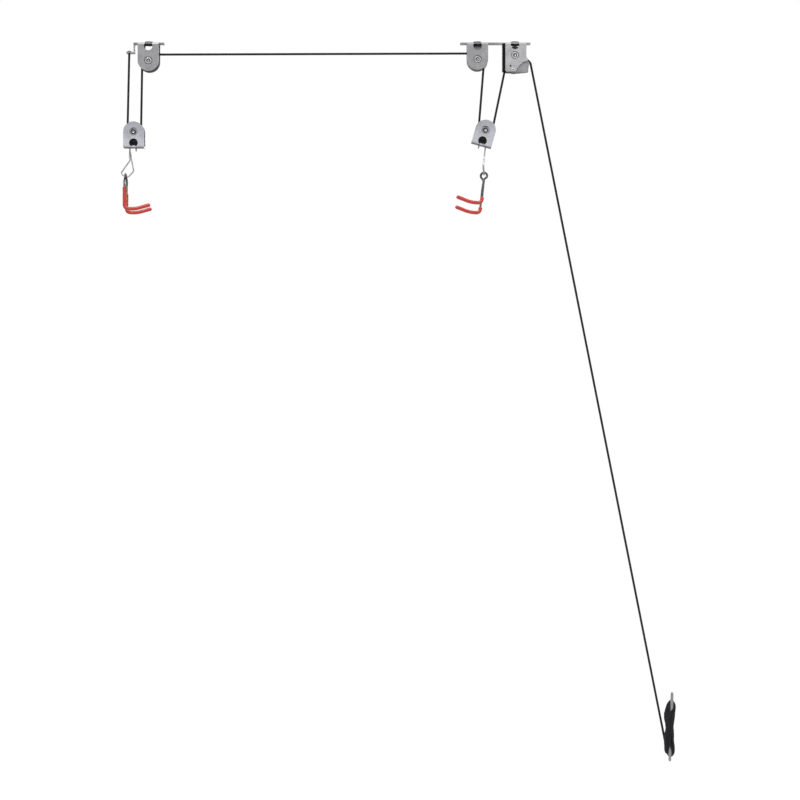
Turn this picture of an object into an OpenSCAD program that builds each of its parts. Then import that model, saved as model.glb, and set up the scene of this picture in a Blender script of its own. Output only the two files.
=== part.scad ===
// Ceiling hoist with two hook blocks, a rope lock and a wall cleat.
// Frame: +Z is up, the ceiling plates' top faces are at Z = 0, and the origin
// is the centre of the front bracket's ceiling hole. The hoist's middle plane is Y = 0.

/* [Layout] */
// Distance from the front bracket's ceiling hole to the rear bracket's
rear_x = 591; // [400:1:1200]
// Distance from the rear wheel to the lock wheel along the rear bracket
lock_pitch = 67.2; // [62:0.2:90]
// Depth of the front block's axle below the ceiling plates
front_block_drop = 160.5; // [120:0.5:400]
// Depth of the rear block's axle below the ceiling plates
rear_block_drop = 157.5; // [120:0.5:400]
// Tilt of the rear block as it hangs
rear_block_tilt = 16; // [10:1:18]
// Distance from the front bracket's ceiling hole to the middle of the cleat
cleat_x = 939.5; // [900:0.5:1400]
// Depth of the cleat's middle below the ceiling plates
cleat_drop = 1230; // [600:1:2000]
// Distance from the hoist's middle plane to the wall behind the cleat
wall_y = 20; // [18:0.5:24]

/* [Sheet metal] */
// Thickness of the bracket and block sheet
sheet_t = 2; // [1.5:0.1:2.2]
// Outside width of the folded channels
channel_w = 24; // [23.4:0.2:30]
// Width of a ceiling bracket's cheeks
cheek_w = 38; // [37:0.5:44]
// Width of a block's cheeks
block_w = 37; // [36:0.5:44]
// Depth of the front bracket's axle below its plate
front_axle_drop = 32.5; // [30:0.5:40]
// Depth of the rear bracket's axle below its plate
rear_axle_drop = 30.5; // [28:0.5:40]
// Height of a block's axle above the underside of its base
block_axle_rise = 28; // [26:0.5:36]
// Diameter of the round windows at the folds
window_d = 15.6; // [12:0.2:17]
// Depth of a bracket window's centre below the plate
window_drop = 6.5; // [5:0.1:8]
// Height of a block window's centre above the underside of its base
block_window_rise = 8; // [7:0.1:9]
// Depth of the pressed dish around each axle
dish_depth = 2.5; // [1:0.1:3]
// Diameter of the dish at the face of the cheek
dish_d = 15; // [14:0.2:16]

/* [Ends of the plates] */
// Reach of the front plate's left end from its ceiling hole
front_plate_left = 27; // [25:0.5:34]
// Reach of the front plate's right end from its ceiling hole
front_plate_right = 28; // [20:0.5:45]
// Reach of the rear plate past the rear wheel's centre
rear_plate_left = 31; // [20:0.5:45]
// Reach of the rear plate past the lock wheel's centre
rear_plate_right = 28; // [22:0.5:45]
// Height of the rope lug's step
lug_drop = 18.5; // [14:0.5:24]
// Length of the rope lug's foot
lug_foot = 13; // [12:0.5:20]
// Width of the rope lug
lug_w = 14; // [11:0.5:20]

/* [Ceiling fixing] */
// Diameter of the ceiling screw holes
screw_hole_d = 5.5; // [4:0.1:7]
// Outside diameter of a rubber grommet's flanges
grommet_d = 15; // [13:0.2:16]
// Diameter of a grommet's waist
grommet_waist_d = 10; // [9:0.2:11]
// Thickness of a grommet's flanges
grommet_flange_t = 2.2; // [1.5:0.1:2.6]

/* [Wheels] */
// Radius of the rope's centreline on a wheel
pitch_r = 12.2; // [11.5:0.1:12.6]
// Outside diameter of a wheel
wheel_d = 34; // [31:0.5:34.5]
// Width of a wheel's rim
rim_w = 11; // [8:0.2:12]
// Diameter of a wheel's hub
hub_d = 12; // [10.5:0.2:14]
// Diameter of the axle rivets
axle_d = 7; // [5:0.1:8]
// Diameter of the hole through an axle rivet
axle_bore_d = 4; // [2:0.1:4.5]
// Diameter of an axle rivet's heads
axle_head_d = 10.5; // [9.5:0.1:11.5]
// Thickness of an axle rivet's heads
axle_head_t = 1.6; // [0.8:0.1:2]

/* [Rope] */
// Diameter of the rope
rope_d = 4; // [3:0.1:4.2]
// Diameter of the melted button at the rope's fixed end
rope_button_d = 8; // [7:0.1:10]
// Thickness of the melted button
rope_button_t = 1.6; // [1:0.1:3]

/* [Lock] */
// Width of the lock's cheeks left of its wheel
lock_left = 22.3; // [22.1:0.1:26]
// Width of the lock's cheeks right of its wheel
lock_right = 20.4; // [19:0.2:22]
// Depth of the lock's axle below the plate
lock_axle_drop = 23.2; // [22.5:0.1:25]
// Depth of the lock's cheeks below its wheel
lock_tail = 12.3; // [11:0.1:18]
// Width of the anvil's side flanges over the cheeks' front edges
anvil_flange = 2.7; // [2:0.1:4]
// Diameter of the lever's pivot pin
pin_d = 3.2; // [2.5:0.1:4]
// Diameter of the pin's heads
pin_head_d = 5.6; // [5:0.1:7]
// Thickness of the lever's sheet
lever_t = 1.6; // [1:0.1:2]
// Outside width of the lever
lever_w = 17; // [13:0.5:18]
// Diameter of the rolled lip that the rope bends over
lip_d = 5.2; // [4:0.2:6]

/* [Hangers and hooks] */
// Diameter of the hanger wire
hanger_d = 2.6; // [2:0.1:3]
// Diameter of the hook wire
hook_d = 4; // [3:0.1:4.2]
// Outside diameter of the vinyl sleeves
sleeve_d = 7; // [6:0.1:8]
// Distance between a hook's two prongs
prong_pitch = 76; // [50:1:120]
// Reach of a hook's prongs
prong_reach = 44; // [40:0.5:55]
// Height of a prong's tip above its trough
prong_rise = 7; // [5:0.5:16]
// Height of a hook from its trough to its eye
hook_h = 60; // [54:0.5:80]

/* [Cleat] */
// Length over the cleat's horns
cleat_l = 125; // [115:1:160]
// Diameter of the horns at the middle
horn_d = 8; // [6:0.2:9]
// Diameter of the horns near their tips
horn_tip_d = 4.6; // [4:0.2:6]
// Distance between the cleat's screws
cleat_hole_pitch = 44; // [38:0.5:56]
// Diameter of the cleat's screw holes
cleat_hole_d = 4.5; // [4:0.1:5.5]
// Lean of the cleat from upright
cleat_lean = 2; // [0:0.5:4]

/* [Hidden] */
$fn = 48;

// Clearances
hub_gap = 0.3;
running_gap = 0.05;
groove_gap = 0.3;
hole_gap = 0.25;
seat_gap = 0.15;
sleeve_gap = 0.08;
wire_hole_gap = 2.8;
cut = 1;

// Rope
rope_r = rope_d / 2;
ring_sides = 8;

// Places of the wheels
front_at = [0, -front_axle_drop];
rear_at = [rear_x, -rear_axle_drop];
lock_at = [rear_x + lock_pitch, -lock_axle_drop];
front_block_x = -26.5;
front_block_at = [front_block_x, -front_block_drop];
rear_block_x = rear_x + 14.3;
rear_block_at = [rear_block_x, -rear_block_drop];

// Dish around each axle
dish_floor_d = axle_head_d + 1.4;
half_gap = channel_w / 2 - sheet_t - dish_depth;
head_seat = channel_w / 2 - dish_depth;
hub_w = 2 * (half_gap - hub_gap);

// Rope lug on the front bracket
lug_x = -front_plate_left;
lug_hole_x = lug_x - lug_foot + 4.5;
lug_foot_z = -lug_drop + sheet_t;

// Lock
lock_h = lock_axle_drop + wheel_d / 2 + lock_tail;
pin_at = [lock_at[0] - 3.4, -lock_h + 3.5];
lip_at = pin_at + [27, 11];
lock_cut_z = lip_at[1] + 5;
seam_gap = 0.1;
lip_gap = 0.6;
bend_r = lip_d / 2 + rope_r + lip_gap;

anvil_t = 2.1;
anvil_h = lock_h - 4;
jaw_gap = 0.3;
jaw_foot = 1.4;
tooth_pitch = 0.8;
tooth_depth = 0.9;
pin_bore_d = 1.6;
turns_gap = 0.2;
lock_window_z = -4.8;
mid_hole_x = rear_x + cheek_w / 2 + 14;
spring_hole_at = pin_at + [-4.6, 6.4];
spring_hole_d = 3.4;

// Block base, measured from the block's axle
base_z = -block_axle_rise;
neck_hole_x = 8;
tail_hole_x = -3.5;
wire_hole_d = 2 * hanger_d + wire_hole_gap;
strand_y = hanger_d / 2 + 0.1;
wire_tail = 5.5;

// ---- Helpers -------------------------------------------------------------

function unit(v) = v / norm(v);

// The corner of a tube's ring carried across a bend, by the mitre plane
function carried(n, d, e) =
    let (m = unit(unit(d) + unit(e)), u = unit(d), w = unit(e),
         q = n - u * (n * m) / (u * m))
    q - w * (q * w);

function first_side(d) =
    let (a = abs(d[1]) < 0.9 * norm(d) ? [0, 1, 0] : [1, 0, 0], u = unit(d))
    unit(a - u * (a * u));

// A closed skin over rings that have the same number of points
module skin(points, sides) {
    last = len(points) / sides - 1;
    walls = [for (i = [0:last - 1], j = [0:sides - 1])
        let (a = i * sides + j, b = i * sides + (j + 1) % sides)
        each [[a, a + sides, b], [b, a + sides, b + sides]]];
    ends = [[for (j = [0:sides - 1]) j],
            [for (j = [sides - 1:-1:0]) last * sides + j]];
    polyhedron(points, concat(walls, ends));
}

// A round tube of radius r swept along the points p. first and final are the normals
// of its end planes where they differ from the way of its first and last stretch.
module tube(p, r, sides = ring_sides, first = undef, final = undef) {
    last = len(p) - 1;
    d = [for (i = [0:last - 1]) p[i + 1] - p[i]];
    side = [for (i = 0, n = first_side(d[0]); i < last;
                 i = i + 1, n = i < last ? unit(carried(n, d[i - 1], d[i])) : n) n];
    rings = [for (i = [0:last])
        let (k = min(i, last - 1), u = unit(d[k]), n = side[k], b = cross(u, n),
             m = i == 0 ? (is_undef(first) ? u : first)
                 : i == last ? (is_undef(final) ? u : final)
                 : unit(unit(d[i - 1]) + unit(d[i])))
        for (j = [0:sides - 1])
            let (a = 360 * (j + 0.5) / sides, v = r * (cos(a) * n + sin(a) * b))
            p[i] + v - u * (v * m) / (u * m)];
    skin(rings, sides);
}

// Draws its children on both sides of the middle plane
module both_sides() {
    children();
    mirror([0, 1, 0]) children();
}

// Draws its children, made in the XZ plane and given a thickness, centred on y
module plate(y, t) {
    translate([0, y + t / 2, 0]) rotate([90, 0, 0]) linear_extrude(t) children();
}

// A cylinder along Y from y0 to y1 at the point [x, z]
module across(at, y0, y1, d) {
    translate([at[0], y1, at[1]]) rotate([90, 0, 0]) cylinder(h = y1 - y0, d = d);
}

// A cone along Y from y0 to y1 at the point [x, z]
module across_cone(at, y0, y1, d0, d1) {
    translate([at[0], y0, at[1]]) rotate([-90, 0, 0]) cylinder(h = y1 - y0, d1 = d0, d2 = d1);
}

// The angle of the normal of the straight rope from wheel a to wheel b, left of its way.
// side_a and side_b are +1 where the rope touches the wheel on its left, -1 on its right.
function normal_angle(a, b, ra, rb, side_a, side_b) =
    let (v = b - a)
    atan2(v[1], v[0]) + acos((side_a * ra - side_b * rb) / norm(v));
function around(at, r, a) = at + r * [cos(a), sin(a)];
function in_plane(p) = [p[0], 0, p[1]];
// The way that a rope runs where it touches a wheel at angle a
function way_at(a) = [-sin(a), 0, cos(a)];

// Points on an arc about a wheel from angle a to angle b, about every 12 degrees
function arc(at, r, a, b) =
    let (n = ceil(abs(b - a) / 12), k = r / cos((b - a) / n / 2))
    [for (i = [0:n]) around(at, i == 0 || i == n ? r : k, a + (b - a) * i / n)];

// A part ring of rope about a wheel, from angle a0 over a sweep
module rope_arc(at, a0, sweep) {
    translate([at[0], 0, at[1]]) rotate([90, 0, 0]) rotate([0, 0, a0])
        rotate_extrude(angle = sweep) translate([pitch_r, 0]) circle(d = rope_d);
}

// A straight stretch of rope between two points of the middle plane
module rope_run(a, b) {
    v = b - a;
    translate(in_plane(a)) rotate([0, atan2(v[0], v[1]), 0]) cylinder(h = norm(v), d = rope_d);
}

// The rope's straight stretches: the angle of each one's normal, and its two ends
fixed_from = [lug_hole_x, lug_foot_z - seat_gap];
fixed_n = normal_angle(fixed_from, front_block_at, 0, pitch_r, 1, -1);
fixed_to = around(front_block_at, -pitch_r, fixed_n);
running_n = normal_angle(front_block_at, front_at, pitch_r, pitch_r, -1, 1);
running_from = around(front_block_at, -pitch_r, running_n);
running_to = around(front_at, pitch_r, running_n);
span_n = normal_angle(front_at, rear_at, pitch_r, pitch_r, 1, 1);
rear_n = normal_angle(rear_at, rear_block_at, pitch_r, pitch_r, 1, -1);
rear_from = around(rear_at, pitch_r, rear_n);
rear_to = around(rear_block_at, -pitch_r, rear_n);
lock_n = normal_angle(rear_block_at, lock_at, pitch_r, pitch_r, -1, 1);
lock_from = around(rear_block_at, -pitch_r, lock_n);
lock_to = around(lock_at, pitch_r, lock_n);
lip_n = normal_angle(lock_at, lip_at, pitch_r, bend_r, 1, 1);
lead_to = [cleat_x - 11.5, -cleat_drop - 22];
lead_n = normal_angle(lip_at, lead_to, bend_r, 0, 1, 1);

// ---- Sheet metal ---------------------------------------------------------

fold_r = 3;
window_depth = 1.2;
boss_lap = 0.4;
strip_w = channel_w - 2 * fold_r;

// Outside of a channel's section: the plate on top and the cheeks hanging down
module fold_shape(w, depth, r) {
    translate([-w / 2, -depth]) square([w, depth - r]);
    translate([-w / 2 + r, -depth]) square([w - 2 * r, depth]);
    for (s = [-1, 1]) translate([s * (w / 2 - r), -r]) circle(r);
}

module channel(x0, x1, depth) {
    translate([x0, 0, 0]) rotate([90, 0, 90]) linear_extrude(x1 - x0) difference() {
        fold_shape(channel_w, depth, fold_r);
        translate([0, -sheet_t])
            fold_shape(channel_w - 2 * sheet_t, depth + cut, fold_r - sheet_t);
    }
}

// A cheek with a round end about the axle
module round_cheek(w, drop) {
    translate([-w / 2, -drop]) square([w, drop + cut]);
    translate([0, -drop]) circle(w / 2, $fn = 64);
}

// The inner boss of the dish around an axle, on both cheeks
module dish_bosses(at) {
    y = channel_w / 2 - sheet_t;
    both_sides()
        across_cone(at, y - dish_depth, y + sheet_t / 2, dish_floor_d + 2 * sheet_t - boss_lap,
                    dish_d + 2 * sheet_t);
}

// The dish's outer hollow and the axle's hole, in both cheeks
module dish_cuts(at) {
    both_sides() across_cone(at, head_seat, channel_w / 2, dish_floor_d, dish_d);
    across(at, -channel_w, channel_w, axle_d + 2 * running_gap);
}

// Windows at the folds. far is false where only the near cheek has one.
module windows(x, z, far) {
    inner = channel_w / 2 - sheet_t - window_depth;
    across([x, z], -channel_w, -inner, window_d);
    if (far) across([x, z], inner, channel_w, window_d);
}

module screw_hole(x, d) {
    translate([x, 0, -sheet_t - cut]) cylinder(h = sheet_t + 2 * cut, d = d);
}

module strip(x0, x1, w) {
    translate([x0, -w / 2, -sheet_t]) cube([x1 - x0, w, sheet_t]);
}

module rope_lug() {
    translate([lug_x, -lug_w / 2, -lug_drop]) cube([sheet_t, lug_w, lug_drop]);
    translate([lug_x - lug_foot, -lug_w / 2, -lug_drop])
        cube([lug_foot + sheet_t, lug_w, sheet_t]);
}

module wheel_housing(at, drop, w) {
    intersection() {
        channel(at[0] - w / 2, at[0] + w / 2, drop + w / 2);
        translate([at[0], 0, 0]) plate(0, 2 * channel_w) round_cheek(w, drop);
    }
    dish_bosses(at);
}

module front_bracket() color("#96969a") difference() {
    union() {
        wheel_housing(front_at, front_axle_drop, cheek_w);
        strip(lug_x, front_plate_right, strip_w);
        rope_lug();
    }
    dish_cuts(front_at);
    windows(0, -window_drop, true);
    screw_hole(0, grommet_waist_d + 2 * hole_gap);
    translate([lug_hole_x, 0, -lug_drop - cut])
        cylinder(h = sheet_t + 2 * cut, d = rope_d + 2 * hole_gap);
}

// A lock cheek: its lower right corner is cut away above the lever
module lock_cheek() {
    nose = [lip_at[0] - lock_at[0] + 0.6, lip_at[1] + 6.4];
    left = anvil_flange - lock_left + anvil_t + seam_gap;
    polygon([
        [left, cut], [lock_right, cut], [lock_right, nose[1] + 6],
        nose, nose + [-2, -1.6], [lock_right - 5, lock_cut_z - 2.4],
        [8.4, pin_at[1] + 8], [3.6, pin_at[1] + 2], [1.8, -lock_h + 1],
        [0.8, -lock_h], [left + 2, -lock_h], [left, -lock_h + 2]
    ]);
}

module lock_housing() {
    x = lock_at[0];
    intersection() {
        channel(x - lock_left + anvil_t, x + 2 * lock_right, lock_h);
        translate([x, 0, 0]) plate(0, 2 * channel_w) lock_cheek();
    }
    dish_bosses(lock_at);
}

module rear_bracket() color("#a4a4a8") difference() {
    union() {
        wheel_housing(rear_at, rear_axle_drop, cheek_w);
        lock_housing();
        strip(rear_x - rear_plate_left, lock_at[0] + rear_plate_right, strip_w);
    }
    dish_cuts(rear_at);
    dish_cuts(lock_at);
    windows(rear_x, -window_drop, false);
    windows(lock_at[0], lock_window_z, true);
    screw_hole(rear_x, grommet_waist_d + 2 * hole_gap);
    screw_hole(lock_at[0], grommet_waist_d + 2 * hole_gap);
    screw_hole(mid_hole_x, screw_hole_d);
    across(pin_at, -channel_w, channel_w, pin_d + 2 * running_gap);
    across(spring_hole_at, -channel_w, channel_w, spring_hole_d);
}

// A black channel: its web is what the jaw presses the rope against, and its flanges
// lie flush in front of the cheeks
module lock_anvil() color("#202022")
    translate([lock_at[0] - lock_left, 0, -anvil_h - sheet_t]) difference() {
        translate([0, -channel_w / 2, 0])
            cube([anvil_t + anvil_flange, channel_w, anvil_h]);
        translate([anvil_t, sheet_t - channel_w / 2, -cut])
            cube([anvil_flange + cut, channel_w - 2 * sheet_t, anvil_h + 2 * cut]);
    }

module grommet(x) {
    translate([x, 0, 0]) difference() {
        union() {
            cylinder(h = grommet_flange_t, d = grommet_d);
            translate([0, 0, -sheet_t]) cylinder(h = sheet_t, d = grommet_waist_d);
            translate([0, 0, -sheet_t - grommet_flange_t])
                cylinder(h = grommet_flange_t, d = grommet_d);
        }
        translate([0, 0, -2 * grommet_flange_t - sheet_t])
            cylinder(h = 4 * grommet_flange_t + sheet_t, d = screw_hole_d);
    }
}

module front_grommet() color("#1a1a1b") grommet(0);
module rear_grommet() color("#1a1a1b") grommet(rear_x);
module lock_grommet() color("#1a1a1b") grommet(lock_at[0]);

// ---- Wheels and axles ----------------------------------------------------

// A nylon wheel about the Y axis with a round rope groove and a wider hub
module wheel(at) {
    translate(in_plane(at)) rotate([90, 0, 0]) difference() {
        union() {
            cylinder(h = rim_w, d = wheel_d, center = true, $fn = 96);
            cylinder(h = hub_w, d = hub_d, center = true);
        }
        rotate_extrude($fn = 96) {
            translate([pitch_r, 0]) circle(rope_r + groove_gap, $fn = 32);
            polygon([
                [pitch_r, -rope_r - groove_gap], [wheel_d / 2 + cut, -rim_w / 2 + 1.2],
                [wheel_d / 2 + cut, rim_w / 2 - 1.2], [pitch_r, rope_r + groove_gap]
            ]);
        }
        for (s = [-1, 1]) translate([0, 0, s * (rim_w / 2 + 1.3)]) difference() {
            cylinder(h = 4, d = wheel_d - 6, center = true);
            cylinder(h = 5, d = hub_d, center = true);
        }
        cylinder(h = 2 * hub_w, d = axle_d + 2 * running_gap, center = true);
    }
}

module front_wheel() color("#1b1b1d") wheel(front_at);
module rear_wheel() color("#1b1b1d") wheel(rear_at);
module lock_wheel() color("#1b1b1d") wheel(lock_at);
module front_block_wheel() color("#1b1b1d") wheel(front_block_at);
module rear_block_wheel() color("#1b1b1d") wheel(rear_block_at);

// A hollow rivet about the Y axis with a rolled ring head at each end
module rivet(at, seat, shank_d, bore_d, head_d, head_t) {
    translate(in_plane(at)) rotate([90, 0, 0]) difference() {
        union() {
            cylinder(h = 2 * seat + head_t, d = shank_d, center = true);
            for (s = [-1, 1]) {
                translate([0, 0, s * (seat + head_t / 4)])
                    cylinder(h = head_t / 2, d = head_d, center = true);
                translate([0, 0, s * (seat + head_t / 2)]) rotate_extrude()
                    translate([(head_d + bore_d) / 4, 0])
                        intersection() {
                            circle((head_d - bore_d) / 4, $fn = 32);
                            square([head_d, head_t], center = true);
                        }
            }
        }
        cylinder(h = 2 * seat + 4 * head_t, d = bore_d, center = true);
    }
}

module axle(at) {
    rivet(at, head_seat, axle_d, axle_bore_d, axle_head_d, axle_head_t);
}

module front_axle() color("#c4c4c6") axle(front_at);
module rear_axle() color("#c4c4c6") axle(rear_at);
module lock_axle() color("#c4c4c6") axle(lock_at);
module front_block_axle() color("#c4c4c6") axle(front_block_at);
module rear_block_axle() color("#c4c4c6") axle(rear_block_at);

// ---- Lock ----------------------------------------------------------------

// The lever's side, seen along Y, measured from its pivot
module lever_side() {
    tip = lip_at - pin_at;
    difference() {
        union() {
            circle(5.2);
            polygon([
                [-3, 3.6], [-7.6, 4], [-8, 0.8], [-4, -3.4], [1.5, -5],
                [tip[0] - 1.6, -3], [tip[0] + 0.6, 2], tip + [lip_d / 2 - 0.4, 3.4],
                tip + [-1.4, 4.6], [18, 12.6], [12, 7.6], [7.4, 4.4], [3, 4.2]
            ]);
        }
        circle(d = pin_d + 2 * running_gap);
    }
}

module lock_lever() color("#a2a2a6") translate(in_plane(pin_at)) {
    tip = lip_at - pin_at;
    floor_z = -2.9;
    both_sides() plate(-lever_w / 2 + lever_t / 2, lever_t) lever_side();
    inner = lever_w / 2 - lever_t;
    // Rolled lip that the rope bends over
    across(tip, -inner, inner, lip_d);
    // End wall and floor between the sides
    translate([tip[0] - 1.1, -inner, floor_z]) cube([lever_t, 2 * inner, tip[1] - floor_z]);
    translate([6.2, -inner, floor_z]) cube([tip[0] - 7, 2 * inner, lever_t]);
    lever_jaw(inner);
}

// How far the rope's right side stands from the pin at the height z above it
function jaw_x(z) =
    let (way = lock_to - lock_from, k = way[0] / way[1])
    lock_to[0] + (pin_at[1] + z - lock_to[1]) * k + rope_r * norm([1, k]) - pin_at[0];

// Toothed jaw that presses the rope against the anvil
module lever_jaw(inner) {
    teeth = [for (i = [0:4])
        let (z = jaw_foot + i * tooth_pitch)
        [jaw_x(z) + jaw_gap + (i % 2 == 0 ? 0 : tooth_depth), z]];
    plate(0, 2 * inner)
        polygon(concat([[-4.2, 1], [jaw_x(1) + 1.6, 0.8]], teeth, [[-4.2, 4.4]]));
}

module lock_pin() color("#b8b8ba")
    rivet(pin_at, channel_w / 2, pin_d, pin_bore_d, pin_head_d, 1);

// Torsion spring around the pin: one leg in the cheeks' hole, one under the lever's floor
module lock_spring() color("#77777a") {
    wire_r = 0.5;
    coil_r = pin_d / 2 + wire_r + 0.4;
    turns = 3;
    start = 120;
    steps = 14;
    last = turns * steps + 3;
    coil = [for (i = [0:last])
        let (a = start - 360 * i / steps, y = 1.5 - 3.6 * i / last)
        [pin_at[0] + coil_r * cos(a), y, pin_at[1] + coil_r * sin(a)]];
    hole = [spring_hole_at[0], 0, spring_hole_at[1]];
    foot = [pin_at[0], -2.6, pin_at[1]];
    tube(concat(
        [hole + [0, channel_w / 2 - 1, 0], hole + [0, 9, 0], hole + [0.2, 5, 0.2],
         hole + [1.6, 2.6, 0.1]],
        coil, [foot + [4.2, 0, -0.3], foot + [12, 0, -0.6]]
    ), wire_r, 6);
}

// ---- Hook blocks ---------------------------------------------------------

// A block's frame is a bracket's housing turned upside down. It is made about its
// axle; turn is +1 where the hanger's neck is left of the axle, -1 where it is right.
module block_frame(turn) {
    axle_at = [0, -block_axle_rise];
    rotate([0, 180, 0]) translate([0, 0, block_axle_rise]) difference() {
        wheel_housing(axle_at, block_axle_rise, block_w);
        dish_cuts(axle_at);
        windows(0, -block_window_rise, false);
        screw_hole(turn * neck_hole_x, wire_hole_d);
        screw_hole(turn * tail_hole_x, wire_hole_d);
    }
}

module front_block_frame() color("#a9a9ac")
    translate(in_plane(front_block_at)) block_frame(1);
module rear_block_frame() color("#a9a9ac")
    translate(in_plane(rear_block_at)) rotate([0, rear_block_tilt, 0]) block_frame(-1);

// ---- Hangers -------------------------------------------------------------

// One strand's way over a block's base: from its tail, over the web between the
// holes, to the neck hole. turn is as for the block's frame, y is the strand's side.
function over_web(turn, y) =
    let (seat = base_z + sheet_t + hanger_d / 2 + seat_gap,
         t = -turn * tail_hole_x, n = -turn * neck_hole_x, k = turn)
    [[t, y, base_z - wire_tail], [t, y, base_z + 0.4], [t - 0.9 * k, y, seat - 1],
     [t - 2.9 * k, y, seat], [n + 2.9 * k, y, seat], [n + 0.9 * k, y, seat - 1],
     [n, y, base_z + 0.4]];

function reversed(p) = [for (i = [len(p) - 1:-1:0]) p[i]];
function mirrored_y(p) = [for (q = p) [q[0], -q[1], q[2]]];
function moved(p, at) = [for (q = p) q + [at[0], 0, at[1]]];
function tilted(p, a) =
    [for (q = p) [q[0] * cos(a) + q[2] * sin(a), q[1], q[2] * cos(a) - q[0] * sin(a)]];

// The inner corners of a path, each as two points a length link_cut away from it
link_cut = 2.4;
function blunted(p) = [
    for (i = [1:len(p) - 2])
        each [p[i] - link_cut * unit(p[i] - p[i - 1]), p[i] + link_cut * unit(p[i + 1] - p[i])]
];

// The front hanger's neck makes a quarter twist and opens across the view
front_neck_left = [
    [-8, strand_y, -30], [-8.6, strand_y * 0.72, -37], [-8.4, 0, -44], [-7.4, 0, -50]
];
front_neck_right = [
    [-4.6, 0, -50], [-5.6, 0, -44], [-6.6, -strand_y * 0.72, -37], [-8, -strand_y, -30]
];
front_link = [
    [-7.4, 0, -50], [-23.5, 0, -72.5], [-20.5, 0, -77.5], [-11, 0, -80.5], [-0.8, 0, -69.5],
    [-4.6, 0, -50]
];
// The rear hanger's neck runs straight and opens along the view
rear_neck = [[0, strand_y, -31], [-0.9, strand_y, -38], [-1.9, strand_y, -48]];
rear_link = [
    [-1.9, strand_y, -48], [-3.6, 9.5, -63], [-2.4, 5.5, -79], [-2.4, -5.5, -79],
    [-3.6, -9.5, -63], [-1.9, -strand_y, -48]
];
front_eye_at = front_block_at + [-15.7, -80.6];
rear_eye_at = rear_block_at + [-2.4, -80.9];

module front_hanger() color("#b0b0b2") tube(moved(concat(
        over_web(1, strand_y), front_neck_left, blunted(front_link),
        front_neck_right, reversed(over_web(1, -strand_y))
    ), front_block_at), hanger_d / 2);

module rear_hanger() color("#b0b0b2") tube(moved(concat(
        tilted(over_web(-1, strand_y), rear_block_tilt), rear_neck, blunted(rear_link),
        mirrored_y(reversed(rear_neck)),
        reversed(tilted(over_web(-1, -strand_y), rear_block_tilt))
    ), rear_block_at), hanger_d / 2);

// ---- Hooks ---------------------------------------------------------------

eye_r = 5.7;
eye_side = hook_d / 2 + 0.15;
prong_knee = 24;
knee_cut = 7;
root_cut = 8;
shoulder_drop = 16;
shoulder_cut = 5;
sleeve_end = 1.5;

// A bend at the point p between a and b that starts c away from it, in n steps
function bend(a, p, b, c, n) =
    let (from = p + c * unit(a - p), to = p + c * unit(b - p))
    [for (i = [0:n]) let (t = i / n)
        (1 - t) * (1 - t) * from + 2 * t * (1 - t) * p + t * t * to];

// One prong from its tip up to its straight leg; s is -1 for the near one, +1 for the far one
function prong(s) =
    let (y = s * prong_pitch / 2, z = -hook_h, tip = [prong_reach, y, z + prong_rise],
         knee = [prong_reach - prong_knee, y, z], root = [0, y, z], leg = [0, y, 0])
    concat([tip], bend(tip, knee, root, knee_cut, 3), bend(knee, root, leg, root_cut, 6));

// The wire's turn around the hanger. along is true where the hanger's wire runs
// along the reach of the prongs, false where it runs from prong to prong.
function eye(along) = [
    along ? [-eye_side, -8, -10.2] : [0, -8, -13.5],
    along ? [-eye_side, -2, -7.6] : [-1.2, -eye_side, -9.6],
    for (a = [-60:30:240])
        let (k = eye_side * (a - 90) / 150, u = eye_r * cos(a), z = eye_r * sin(a))
        along ? [k, u, z] : [u, k, z],
    along ? [eye_side, 2, -7.6] : [1.2, eye_side, -9.6],
    along ? [eye_side, 8, -10.2] : [0, 8, -13.5]
];

// The leg's shoulder, where it turns towards the eye
function shoulder(s, along) =
    let (y = s * prong_pitch / 2, x = along ? s * eye_side : 0)
    bend([0, y, -hook_h], [0, y, -shoulder_drop], [x, s * 8, along ? -10.2 : -13.5], shoulder_cut, 3);

function hook_path(along) = concat(
    prong(-1), shoulder(-1, along), eye(along),
    reversed(shoulder(1, along)), reversed(prong(1))
);

module placed_front() {
    translate(in_plane(front_eye_at)) rotate([0, 0, 5]) children();
}
module placed_rear() {
    translate(in_plane(rear_eye_at)) rotate([-8, 0, 0]) rotate([0, 6, 0])
        rotate([0, 0, 180]) children();
}

// A vinyl sleeve on one prong, from its closed end to the height top below the eye
module sleeve(s, top) {
    wire = prong(s);
    out = unit(wire[0] - wire[1]);
    rest = [for (i = [1:len(wire) - 1]) wire[i]];
    mouth = [0, s * prong_pitch / 2, -top];
    difference() {
        tube(concat([wire[0] + sleeve_end * out], rest, [mouth]), sleeve_d / 2, 12);
        tube(concat([wire[0] + sleeve_gap * out], rest, [mouth + [0, 0, cut]]),
             hook_d / 2 + sleeve_gap, 12);
    }
}

module front_hook() color("#55555a") placed_front() tube(hook_path(true), hook_d / 2, 12);
module rear_hook() color("#4a4a4e") placed_rear() tube(hook_path(false), hook_d / 2, 12);
module front_hook_sleeve_near() color("#c8362c") placed_front()
    sleeve(-1, shoulder_drop + shoulder_cut + 0.7);
module front_hook_sleeve_far() color("#c8362c") placed_front()
    sleeve(1, shoulder_drop + shoulder_cut + 6);
module rear_hook_sleeve_near() color("#c8362c") placed_rear()
    sleeve(1, hook_h - root_cut - 2);
module rear_hook_sleeve_far() color("#c8362c") placed_rear()
    sleeve(-1, hook_h - root_cut - 2);

// ---- Cleat ---------------------------------------------------------------

horn_end = cleat_l / 2;
base_l = cleat_hole_pitch + 14;
base_w = 14;
base_t = 4;
post_d = 9;
post_z = 13;

module placed_cleat() {
    translate([cleat_x, 0, -cleat_drop]) rotate([0, cleat_lean, 0]) children();
}

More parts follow.
